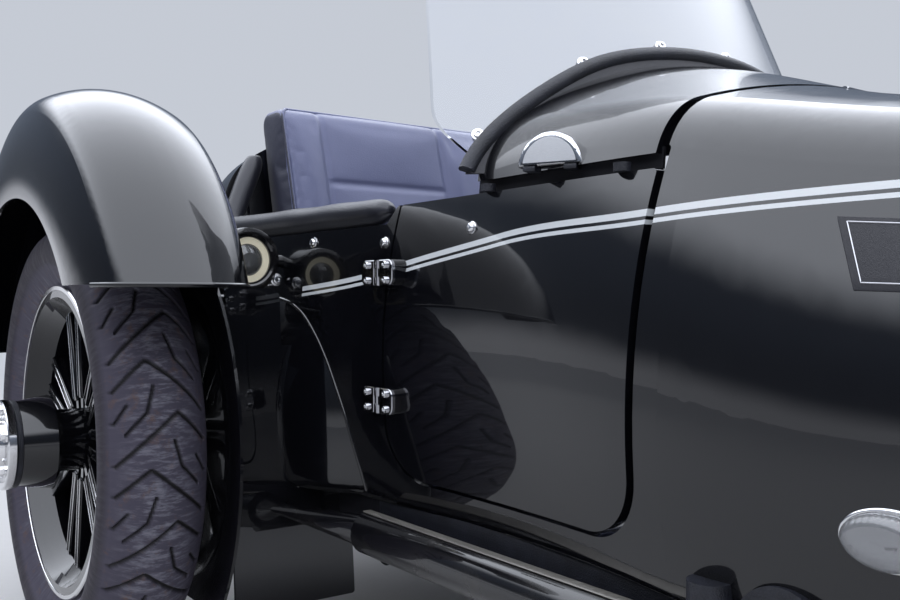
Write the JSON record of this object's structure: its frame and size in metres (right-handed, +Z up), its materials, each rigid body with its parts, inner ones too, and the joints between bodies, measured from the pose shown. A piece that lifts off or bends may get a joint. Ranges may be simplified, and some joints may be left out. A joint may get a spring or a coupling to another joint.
{
  "type": "motorcycle sidecar",
  "caption": "Single-seat sidecar: moulded body with a hinged side door, a tilting cowl and screen, a boot lid, a tube chassis and one sprung wheel under a deep fender.",
  "frame": {"origin": "centre of the lower rear mount's bore, on the inboard side", "axes": "+X forward, +Y inboard towards the motorcycle, +Z up; the ground is 232 mm below the origin"},
  "size_m": [2.21, 1.224, 1.1698],
  "materials": {
    "black_paint": "deep gloss black lacquer",
    "frame_paint": "gloss black enamel",
    "polished_steel": "polished",
    "black_rubber": "grained black rubber",
    "textured_black": "textured black",
    "grey_vinyl": "grained grey vinyl",
    "black_vinyl": "grained black vinyl",
    "tyre_rubber": "worn tread rubber",
    "clear_screen": "clear bent acrylic",
    "clear_lens": "clear lens",
    "red_lens": "moulded red lens",
    "lamp_cream": "cream diffuser"
  },
  "bodies": {
    "sidecar": {"body_tub": "black_paint", "nose_shell": "black_paint", "cowl_hinge_base": "polished_steel", "boot_hinge_base": "polished_steel", "door_hinge_bases": "polished_steel", "seat_base": "grey_vinyl", "seat_back": "grey_vinyl", "armrest_rolls": "black_vinyl", "fender": "black_paint", "inner_skirt": "black_paint", "fender_stays": "frame_paint", "splash_panel": "black_paint", "lamp_housing": "frame_paint", "lamp_ring": "lamp_cream", "lamp_lens": "clear_lens", "marker_lamp": "clear_lens", "tail_lamp_base": "polished_steel", "tail_lens": "red_lens", "outer_rail": "frame_paint", "inner_rail": "frame_paint", "cross_tubes": "frame_paint", "body_pads": "black_rubber", "sill_mounts": "black_rubber", "swing_arm": "frame_paint", "stub_axle": "polished_steel", "shock": "frame_paint", "shock_bracket": "frame_paint", "panel_arm": "frame_paint", "lower_mounts": "frame_paint", "rear_strut": "frame_paint", "front_strut": "frame_paint"},
    "side_door": {"door": "black_paint", "door_hinge_leaves": "polished_steel", "door_stops": "black_rubber"},
    "tilting_cowl": {"cowl": "black_paint", "cowl_hinge_leaf": "polished_steel", "screen_flange": "textured_black", "screen_rubber": "black_rubber", "windscreen": "clear_screen", "cowl_catch": "polished_steel"},
    "boot_cover": {"boot_lid": "black_paint", "boot_hinge_leaf": "polished_steel"},
    "road_wheel": {"tyre": "tyre_rubber", "wheel": "black_paint", "hub_barrel": "black_paint"}
  },
  "joints": [
    {"name": "wheel_spin", "type": "hinge", "parent": "sidecar", "child": "road_wheel", "pos_m": [0.16, -1.01, 0.088], "axis": [0, 1, 0], "continuous": true},
    {"name": "door_hinge", "type": "hinge", "parent": "sidecar", "child": "side_door", "pos_m": [0.63, -0.809, 0.245], "axis": [0, 0, -1], "range_deg": [0, 70]},
    {"name": "cowl_tilt", "type": "hinge", "parent": "sidecar", "child": "tilting_cowl", "pos_m": [1.028, -0.43, 0.5055], "axis": [0, 1, 0], "range_deg": [0, 55]},
    {"name": "boot_hinge", "type": "hinge", "parent": "sidecar", "child": "boot_cover", "pos_m": [-0.055, -0.43, 0.6055], "axis": [0, 1, 0], "range_deg": [0, 60]}
  ]
}
